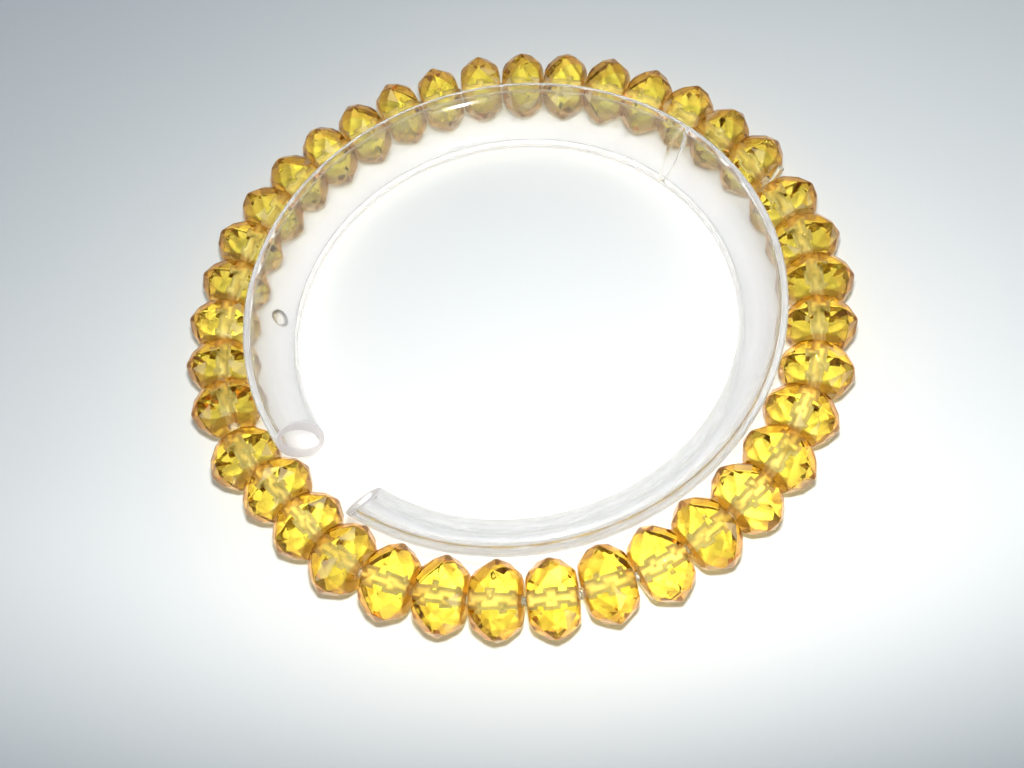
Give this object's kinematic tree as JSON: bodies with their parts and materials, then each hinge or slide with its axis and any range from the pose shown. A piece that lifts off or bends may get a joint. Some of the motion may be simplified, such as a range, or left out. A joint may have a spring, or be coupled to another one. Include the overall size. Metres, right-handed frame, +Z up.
{
  "type": "crystal bracelet on a clear display ring",
  "caption": "Round stretch bracelet of drilled, faceted amber crystal beads on a clear elastic thread with a knot, held open by a clear C-shaped display ring of flattened tube.",
  "frame": {"origin": "middle of the ring of beads, on the surface that it lies on", "axes": "+Z up, square to the ring of beads; the open gap of the display ring faces the lower left, towards -X and -Y, and the knot lies near +X"},
  "size_m": [0.0749, 0.0752, 0.0087],
  "materials": {
    "crystal": "polished amber-yellow crystal glass with sharp facets and frosted bores",
    "elastic": "clear elastic cord, glossy",
    "clear_plastic": "clear, faintly lavender plastic tube, glossy"
  },
  "bodies": {
    "root": {"bead_01": "crystal", "bead_02": "crystal", "bead_03": "crystal", "bead_04": "crystal", "bead_05": "crystal", "bead_06": "crystal", "bead_07": "crystal", "bead_08": "crystal", "bead_09": "crystal", "bead_10": "crystal", "bead_11": "crystal", "bead_12": "crystal", "bead_13": "crystal", "bead_14": "crystal", "bead_15": "crystal", "bead_16": "crystal", "bead_17": "crystal", "bead_18": "crystal", "bead_19": "crystal", "bead_20": "crystal", "bead_21": "crystal", "bead_22": "crystal", "bead_23": "crystal", "bead_24": "crystal", "bead_25": "crystal", "bead_26": "crystal", "bead_27": "crystal", "bead_28": "crystal", "bead_29": "crystal", "bead_30": "crystal", "bead_31": "crystal", "bead_32": "crystal", "bead_33": "crystal", "bead_34": "crystal", "bead_35": "crystal", "bead_36": "crystal", "bead_37": "crystal", "bead_38": "crystal", "elastic_thread": "elastic", "display_ring": "clear_plastic"}
  },
  "joints": []
}
